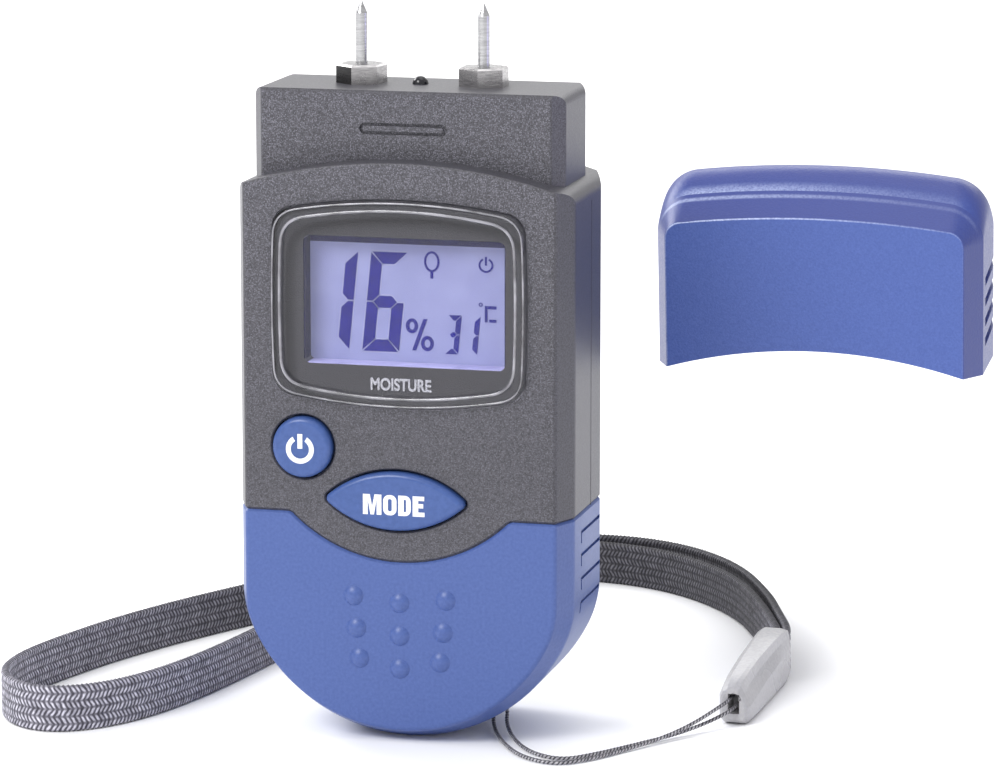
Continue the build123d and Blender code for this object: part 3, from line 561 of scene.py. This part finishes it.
def bead():
    """Slider: flat top sloping to its mouth, a ridge, and a hollow facet on its outer side.
    A station is (share of the length, width, underside, top). The front and rear outlines go
    round the bead in shares of its width and height, and the mouth's is in millimetres."""
    start_at = Vector((*BEAD_FRONT, 0.0))
    run = Vector((*BEAD_REAR, 0.0)) - start_at
    along = run.normalized()
    across = Vector((along.y, -along.x, 0))
    stations = [(0.0, 3.3, 0.7, 4.7), (0.015, 4.0, 0.4, 5.1), (0.06, 4.7, 0.1, 5.6),
                (0.2, 5.1, 0.02, 6.3), (0.45, 5.2, 0.02, 7.1), (0.72, 5.2, 0.02, 7.7),
                (0.9, 5.1, 0.05, 8.0), (0.975, 4.9, 0.15, 7.9), (1.0, 4.6, 0.4, 7.7)]
    front_outline = [(-0.5, 0.16), (-0.5, 0.7), (-0.4, 0.93), (-0.24, 1.0), (-0.02, 1.0),
                     (0.14, 0.95), (0.3, 0.76), (0.48, 0.46), (0.49, 0.16), (0.34, 0.0),
                     (-0.34, 0.0)]
    rear_outline = [(-0.5, 0.12), (-0.5, 0.84), (-0.44, 0.96), (-0.34, 1.0), (0.16, 1.0),
                    (0.34, 0.97), (0.4, 0.84), (0.43, 0.6), (0.42, 0.14), (0.34, 0.0),
                    (-0.42, 0.0)]
    hollow = {5: (-0.06, 0.02), 6: (-0.2, -0.08), 7: (-0.1, -0.04)}
    mouth_depth = 0.125
    mouth = [(-0.8, 1.9), (-0.8, 3.4), (-0.8, 4.5), (-0.4, 4.5), (0.2, 4.5), (0.8, 4.5),
             (0.8, 3.6), (0.8, 2.7), (0.8, 1.7), (0.3, 1.7), (-0.5, 1.7)]

    def spot(share, x, z):
        place = start_at + run * share + across * x + Vector((0, 0, z))
        return tuple(place)

    points, faces = [], []
    for share, wide, low, high in stations:
        scoop = math.sin(math.pi * min(1.0, max(0.0, (share - 0.04) / 0.93))) ** 0.6
        for k, (ahead, behind) in enumerate(zip(front_outline, rear_outline)):
            x, z = (p + (q - p) * share for p, q in zip(ahead, behind))
            dx, dz = hollow.get(k, (0.0, 0.0))
            lift = low + (z + dz * scoop) * (high - low)
            points.append(spot(share, (x + dx * scoop) * wide, lift))
    count = len(front_outline)
    rows = len(stations)
    for i in range(rows - 1):
        for k in range(count):
            n = (k + 1) % count
            faces.append((i * count + k, i * count + n, (i + 1) * count + n, (i + 1) * count + k))
    faces.append(tuple((rows - 1) * count + k for k in range(count)))
    for depth in (0.0, mouth_depth):
        points += [spot(depth, x, z) for x, z in mouth]
    first = rows * count
    for k in range(count):
        n = (k + 1) % count
        faces.append((k, n, first + n, first + k))
        faces.append((first + k, first + n, first + count + n, first + count + k))
    faces.append(tuple(first + count + k for k in range(count)))
    obj = piece("strap_slider", points, faces, BEAD_GREY, smooth=True)
    soften = obj.modifiers.new("soften", "BEVEL")
    soften.width = 0.22 * MM
    soften.segments = 3
    soften.limit_method = "ANGLE"
    soften.angle_limit = math.radians(16)
    soften.harden_normals = True
    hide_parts("strap_bead")
    return obj


SLIDER = bead()
strand("a")
strand("b")
band()


# ---- flat printed and shaped outlines ----------------------------------------------------
def flat_shapes(name, shapes, front, back, material, slot, body="root"):
    """Thin raised shapes facing the front. A shape is (outline, hole or None)."""
    points, faces = [], []
    for outer, hole in shapes:
        n = len(outer)
        first = len(points)
        for loop in ([outer] if hole is None else [outer, hole]):
            for y in (front, back):
                points += [(x, y, z) for x, z in loop]
        for i in range(n):
            a = first + i
            b = first + (i + 1) % n
            faces.append((a, b, b + n, a + n))
            if hole is not None:
                c, d = a + 2 * n, b + 2 * n
                faces += [(d, c, c + n, d + n), (b, a, c, d), (a + n, b + n, d + n, c + n)]
        if hole is None:
            faces.append(tuple(range(first, first + n)))
            faces.append(tuple(range(first + n, first + 2 * n)))
    return piece(name, points, faces, material, body)


def oval(x, z, radius_x, radius_z, count=32):
    return [(x + radius_x * math.cos(2 * math.pi * k / count),
             z + radius_z * math.sin(2 * math.pi * k / count)) for k in range(count)]


def ring(x, z, radius_x, radius_z, line):
    return (oval(x, z, radius_x, radius_z), oval(x, z, radius_x - line, radius_z - line))


def box_shape(x_low, x_high, z_low, z_high):
    return ([(x_low, z_low), (x_high, z_low), (x_high, z_high), (x_low, z_high)], None)


def round_box(x_low, x_high, z_low, z_high, left, right):
    """Rectangle whose left and right corners have their own radii."""
    loop = []
    corners = [(x_high, z_high, right, 0), (x_low, z_high, left, 1),
               (x_low, z_low, left, 2), (x_high, z_low, right, 3)]
    for x, z, radius, quarter in corners:
        centre_x = x + (-radius if quarter in (0, 3) else radius)
        centre_z = z + (-radius if quarter in (0, 1) else radius)
        for step in range(7):
            angle = math.pi / 2 * (quarter + step / 6)
            loop.append((centre_x + radius * math.cos(angle), centre_z + radius * math.sin(angle)))
    return loop


def arc_band(x, z, outer, line, gap_degrees):
    """Ring with a gap at the top."""
    gap = math.radians(gap_degrees)
    angles = [math.pi / 2 + gap + (2 * math.pi - 2 * gap) * k / 40 for k in range(41)]
    loop = [(x + outer * math.cos(a), z + outer * math.sin(a)) for a in angles]
    inner = outer - line
    loop += [(x + inner * math.cos(a), z + inner * math.sin(a)) for a in reversed(angles)]
    return (loop, None)


def segments(letters, left, base, width, height, stroke, gap, slant):
    """Slanted seven-segment digit; letters name the segments that are on."""
    mid, half = height / 2, stroke / 2
    inner = stroke + gap
    upright = [(0, gap), (stroke, inner), (stroke, mid - half - gap), (half, mid - gap * 0.8),
               (0, mid - gap * 0.8)]
    level = [(gap, 0), (width - gap, 0), (width - inner, stroke), (inner, stroke)]
    middle = [(half + gap, mid), (inner, mid + half), (width - inner, mid + half),
              (width - half - gap, mid), (width - inner, mid - half), (inner, mid - half)]
    made = {"E": upright,
            "F": [(x, height - z) for x, z in upright],
            "C": [(width - x, z) for x, z in upright],
            "B": [(width - x, height - z) for x, z in upright],
            "D": level,
            "A": [(x, height - z) for x, z in level],
            "G": middle}
    return [([(left + x + slant * z, base + z) for x, z in made[letter]], None)
            for letter in letters]


def grown(shapes, amount):
    """The same shapes a little larger all round, from each shape's own middle."""
    bigger = []
    for loop, hole in shapes:
        middle_x = sum(x for x, z in loop) / len(loop)
        middle_z = sum(z for x, z in loop) / len(loop)
        wide = max(x for x, z in loop) - min(x for x, z in loop)
        tall = max(z for x, z in loop) - min(z for x, z in loop)
        wider = 1 + 2 * amount / wide
        taller = 1 + 2 * amount / tall
        outline = [(middle_x + (x - middle_x) * wider, middle_z + (z - middle_z) * taller)
                   for x, z in loop]
        bigger.append((outline, hole))
    return bigger


# ---- display -----------------------------------------------------------------------------
GLASS_Y = -7.9                                  # front face of the display
INK = (GLASS_Y - 0.10, GLASS_Y - 0.02)          # front and back of what is printed on it
HALO = (GLASS_Y - 0.03, GLASS_Y - 0.005)
WINDOW_X = (-13.5, 14.7)
WINDOW_Z = (52.2, 69.8)
TOP_SHADOW_Z = 68.5
SIDE_MASK_X = 13.85
FLOOR_Y = -11.0                                 # floor of the recess round the window
BIG_DIGIT = {"base": 53.67, "width": 5.15, "height": 13.68, "stroke": 1.62, "gap": 0.14,
             "slant": 0.10}
SMALL_DIGIT = {"base": 53.7, "width": 1.85, "height": 5.35, "stroke": 0.72, "gap": 0.07,
               "slant": 0.098}

big = segments("BC", -13.13, **BIG_DIGIT) + segments("AFGECD", -6.1, **BIG_DIGIT)
small = segments("ABGCD", 5.5, **SMALL_DIGIT) + segments("BC", 8.12, **SMALL_DIGIT)
flat_shapes("lcd_digits", big + small, *INK, LCD_INK, "lcd_glass")
flat_shapes("lcd_digit_halo", grown(big, 0.22), *HALO, LCD_HALO, "lcd_glass")
percent = [ring(0.9, 57.36, 0.86, 1.02, 0.48), ring(3.06, 55.01, 0.9, 1.04, 0.48),
           ([(0.92, 54.0), (1.48, 54.0), (3.06, 58.35), (2.5, 58.35)], None)]
degree = [ring(10.51, 60.65, 0.28, 0.28, 0.14), box_shape(11.08, 11.46, 58.27, 60.5),
          box_shape(11.5, 12.7, 60.08, 60.5), box_shape(11.7, 12.7, 58.27, 58.65)]
tree_icon = [ring(3.7, 66.26, 1.08, 1.43, 0.3), box_shape(3.5, 3.9, 63.96, 64.9)]
power_sign = [arc_band(11.24, 66.05, 1.02, 0.26, 28), box_shape(11.1, 11.38, 66.0, 67.2)]
flat_shapes("lcd_icons", percent + degree + tree_icon + power_sign, *INK, LCD_INK, "lcd_glass")
# painted shadow: dark strip across the display's top where the window's upper edge shades it; the
# right-margin strip below shares its material
flat_shapes("lcd_top_shadow", [box_shape(*WINDOW_X, TOP_SHADOW_Z, WINDOW_Z[1])], *INK,
            SHADOW_MASK_INK, "lcd_glass")
flat_shapes("lcd_side_mask", [box_shape(SIDE_MASK_X, WINDOW_X[1], WINDOW_Z[0], TOP_SHADOW_Z)], *INK,
            SHADOW_MASK_INK, "lcd_glass")

LINER_THICK = 0.12
LINER_INSET = 0.01


def liner(name, sides, material):
    """Thin strips along the window's walls carrying painted shade or painted light; sides picks
    left, right, top and bottom.
    """
    thick = LINER_THICK
    left, right = WINDOW_X[0] + LINER_INSET, WINDOW_X[1] - LINER_INSET
    low, high = WINDOW_Z[0] + LINER_INSET, WINDOW_Z[1] - LINER_INSET
    strips = {"left": box_shape(left, left + thick, low, high),
              "right": box_shape(right - thick, right, low, high),
              "top": box_shape(left, right, high - thick, high),
              "bottom": box_shape(left, right, low, low + thick)}
    return flat_shapes(name, [strips[side] for side in sides], FLOOR_Y + 0.1, GLASS_Y - 0.11,
                       material, "lcd_frame")


# painted shade on the left, right and top walls; painted light, glowing, on the bottom wall
liner("window_liner", ("left", "right", "top"), LINER_SHADE)
liner("window_liner_base", ("bottom",), LINER_LIT)

LENS_TOP = (75.1, 73.3)         # middle and corners of the surround's arched upper side
LENS_BOTTOM = (46.5, 48.3)      # and of its lower side
LENS_SIDE = (17.95, 17.6)       # and of its left and right sides
CORNER_CUT = 3.0                # how far from a corner its rounding starts
RIM_CREST = -12.86              # y of the rim's front


def lens_loop(inset):
    """The window surround's outline, inset: four arched sides joined by rounded corners."""
    top, high = (z - inset for z in LENS_TOP)
    bottom, low = (z + inset for z in LENS_BOTTOM)
    wide, side = (x - inset for x in LENS_SIDE)
    corners = [(side, high), (side, low), (-side, low), (-side, high)]
    bulges = [(wide, (high + low) / 2), (0.0, bottom), (-wide, (high + low) / 2), (0.0, top)]
    runs = []
    for k in range(4):
        first, last, bulge = (np.array(p) for p in (corners[k], corners[(k + 1) % 4], bulges[k]))
        rise = bulge - (first + last) / 2
        cut = CORNER_CUT / np.linalg.norm(last - first)
        shares = np.linspace(cut, 1 - cut, 40)[:, None]
        runs.append(first + (last - first) * shares + rise * 4 * shares * (1 - shares))
    loop = []
    for k in range(4):
        corner = np.array(corners[(k + 1) % 4])
        loop += list(runs[k])
        ends = (runs[k][-1], runs[(k + 1) % 4][0])
        for t in np.linspace(0, 1, 12)[1:-1]:
            loop.append(ends[0] * (1 - t) ** 2 + corner * 2 * t * (1 - t) + ends[1] * t ** 2)
    return np.array(loop)


def rim_line(name, inset, radius):
    """Glossy bead standing along the clear window's surround; its light grey colour is painted
    highlight, standing in for the highlight lines on the window's rim.
    """
    loop = lens_loop(inset)
    travel = np.roll(loop, -1, 0) - np.roll(loop, 1, 0)
    travel /= np.linalg.norm(travel, axis=1)[:, None]
    outward = np.column_stack([-travel[:, 1], travel[:, 0]])
    around, count = 10, len(loop)
    points, faces = [], []
    for i in range(count):
        for k in range(around):
            angle = 2 * math.pi * k / around
            x, z = loop[i] + outward[i] * radius * math.cos(angle)
            points.append((x, RIM_CREST + radius * math.sin(angle), z))
            j, n = (i + 1) % count, (k + 1) % around
            faces.append((i * around + k, i * around + n, j * around + n, j * around + k))
    return piece(name, points, faces, RIM_HIGHLIGHT, smooth=True)


# two glossy beads whose light grey colour is painted highlight along the window's rim
rim_line("lens_rim_outer", 0.45, 0.14)
rim_line("lens_rim_inner", 1.5, 0.22)

PARTING_Y = 1.8                 # where the two shells meet
SEAM_TOP = 74.0
SEAM_HALF = 0.09
SEAM_DEPTH = 0.05
SEAM_PROUD = 0.015              # how far the dark line stands off the shells, so that it shows
BOX_FACES = ((0, 1, 3, 2), (4, 5, 7, 6), (0, 1, 5, 4), (2, 3, 7, 6), (0, 2, 6, 4), (1, 3, 7, 5))


def case_seam():
    """Shadow line where the two shells meet, on both sides, from the boot to the shoulder."""
    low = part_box("boot")[1][2] / MM + 0.1
    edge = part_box("front_shell")[1][0] / MM
    points, faces = [], []
    for side in (-1, 1):
        first = len(points)
        for x in (side * (edge - SEAM_DEPTH), side * (edge + SEAM_PROUD)):
            for y in (PARTING_Y - SEAM_HALF, PARTING_Y + SEAM_HALF):
                points += [(x, y, low), (x, y, SEAM_TOP)]
        faces += [tuple(first + k for k in face) for face in BOX_FACES]
    return piece("case_seam", points, faces, RUBBER)


case_seam()


def caption(text, x_range, z_range, front, back):
    """Printed word in Blender's own font, fitted to a box."""
    curve = bpy.data.curves.new("caption", "FONT")
    curve.body = text
    curve.offset = 0.03
    curve.extrude = 0.01
    holder = bpy.data.objects.new("caption_text", curve)
    bpy.context.scene.collection.objects.link(holder)
    bpy.context.view_layer.update()
    mesh = bpy.data.meshes.new_from_object(holder)
    spots = [v.co.copy() for v in mesh.vertices]
    faces = [tuple(p.vertices) for p in mesh.polygons]
    bpy.data.objects.remove(holder)
    bpy.data.curves.remove(curve)
    low_x, high_x = min(p.x for p in spots), max(p.x for p in spots)
    low_z, high_z = min(p.y for p in spots), max(p.y for p in spots)
    points = []
    for p in spots:
        x = x_range[0] + (p.x - low_x) / (high_x - low_x) * (x_range[1] - x_range[0])
        z = z_range[0] + (p.y - low_z) / (high_z - low_z) * (z_range[1] - z_range[0])
        points.append((x, front if p.z > 0 else back, z))
    return piece("caption", points, faces, GREY_PRINT)


caption("MOISTURE", (-4.1, 4.4), (48.85, 50.6), FLOOR_Y - 0.06, FLOOR_Y + 0.04)

# ---- button marks ------------------------------------------------------------------------
BUTTON_Y = -13.0                                # front face of both buttons
MARK = (BUTTON_Y - 0.06, BUTTON_Y + 0.03)
power_mark = [arc_band(-13.66, 40.5, 1.98, 0.69, 31), box_shape(-14.0, -13.31, 40.6, 42.62)]
flat_shapes("power_mark", power_mark, *MARK, WHITE_PRINT, "blue_button", "power_button")


def word_mode(left, base, height):
    """Bold narrow letters M, O, D, E as outlines, drawn wide and then narrowed."""
    top = base + height
    stroke = 0.82
    narrow = 0.955
    m = [(0, 0), (0, height), (1.02, height), (1.36, 1.15), (1.71, height), (2.73, height),
         (2.73, 0), (2.02, 0), (2.02, 2.05), (1.62, 0), (1.11, 0), (0.71, 2.05), (0.71, 0)]
    shapes = [([(left + x, base + z) for x, z in m], None)]
    x = left + 2.73 + 0.25
    shapes.append((round_box(x, x + 1.97, base, top, 0.85, 0.85),
                   round_box(x + 0.7, x + 1.27, base + 0.55, top - 0.55, 0.26, 0.26)))
    x = x + 1.97 + 0.25
    shapes.append((round_box(x, x + 1.85, base, top, 0.02, 0.85),
                   round_box(x + stroke, x + 1.15, base + 0.55, top - 0.55, 0.02, 0.14)))
    x = x + 1.85 + 0.27
    e = [(0, 0), (0, height), (1.7, height), (1.7, height - 0.6), (stroke, height - 0.6),
         (stroke, 1.78), (1.55, 1.78), (1.55, 1.18), (stroke, 1.18), (stroke, 0.6), (1.74, 0.6),
         (1.74, 0)]
    shapes.append(([(x + px, base + pz) for px, pz in e], None))

    def narrowed(loop):
        return [(left + (px - left) * narrow, pz) for px, pz in loop]

    return [(narrowed(outer), None if hole is None else narrowed(hole)) for outer, hole in shapes]


flat_shapes("mode_mark", word_mode(-4.8, 32.0, 2.8), *MARK, WHITE_PRINT, "blue_button",
            "mode_button")

# ---- materials of the CAD parts ----------------------------------------------------------
LOOKS = {
    "front_shell": CHARCOAL, "rear_shell": CHARCOAL, "boot": BOOT_BLUE, "cap": CAP_BLUE,
    "power_button": BUTTON_BLUE, "mode_button": BUTTON_BLUE, "display_lens": CLEAR,
    "lcd_frame": FRAME_GREY, "lcd_glass": LCD_LIGHT, "backlight": GUIDE, "contact_strip": RUBBER,
    "main_board": BOARD_GREEN, "controller_chip": CHIP_BLACK, "power_switch": SWITCH_GREY,
    "mode_switch": SWITCH_GREY, "temperature_sensor": SENSOR, "battery_tray": TRAY,
    "coin_cell": CELL_STEEL, "battery_contact_negative": SPRING,
    "battery_contact_positive": SPRING, "battery_cover": CHARCOAL, "case_screws": SCREW,
    "board_screws": SCREW}
for side in ("left", "right"):
    LOOKS["electrode_pin_" + side] = PIN_STEEL
    LOOKS["hex_collar_" + side] = NICKEL
    LOOKS["electrode_socket_" + side] = BRASS
    LOOKS["electrode_contact_" + side] = SPRING
for name, material in LOOKS.items():
    data = NODES[name].data
    data.materials.clear()
    data.materials.append(material)

# ---- floor and light ---------------------------------------------------------------------
FLOOR_HALF = 4.0
floor_mesh = bpy.data.meshes.new("floor")
floor_mesh.from_pydata([(-FLOOR_HALF, -FLOOR_HALF, 0), (FLOOR_HALF, -FLOOR_HALF, 0),
                        (FLOOR_HALF, FLOOR_HALF, 0), (-FLOOR_HALF, FLOOR_HALF, 0)], [],
                       [(0, 1, 2, 3)])
floor_mesh.materials.append(plastic("floor_paper", srgb(249, 249, 250), srgb(252, 252, 253), 30.0,
                                    (0.8, 0.9), 0.001))
floor = bpy.data.objects.new("floor", floor_mesh)
bpy.context.scene.collection.objects.link(floor)

world = bpy.data.worlds.new("studio")
world.use_nodes = True
sky = world.node_tree
background = sky.nodes["Background"]
background.inputs["Color"].default_value = (1.0, 1.0, 1.0, 1.0)
background.inputs["Strength"].default_value = 0.8
bpy.context.scene.world = world
bpy.context.scene.view_settings.view_transform = "Standard"


def softbox(name, place, target, width, height, power, colour=(1.0, 1.0, 1.0)):
    data = bpy.data.lights.new(name, "AREA")
    data.shape = "RECTANGLE"
    data.size = width
    data.size_y = height
    data.energy = power
    data.color = colour
    lamp = bpy.data.objects.new(name, data)
    lamp.location = place
    lamp.rotation_euler = (Vector(target) - Vector(place)).to_track_quat("-Z", "Y").to_euler()
    bpy.context.scene.collection.objects.link(lamp)


softbox("key", (-0.45, -0.8, 0.8), (0.0, 0.0, 0.05), 0.5, 0.5, 8.5)
softbox("top", (0.1, 0.1, 1.0), (0.0, 0.0, 0.05), 0.8, 0.6, 2.0)
softbox("back", (-0.1, 1.1, 0.7), (0.0, 0.9, 0.0), 1.6, 0.6, 7.0)
softbox("rim_left", (-0.6, 0.3, 0.45), (0.0, 0.0, 0.05), 0.3, 0.25, 2.5)
softbox("blue_right", (0.6, 0.05, 0.05), (0.0, 0.0, 0.06), 0.2, 0.2, 0.22, (0.35, 0.3, 1.0))
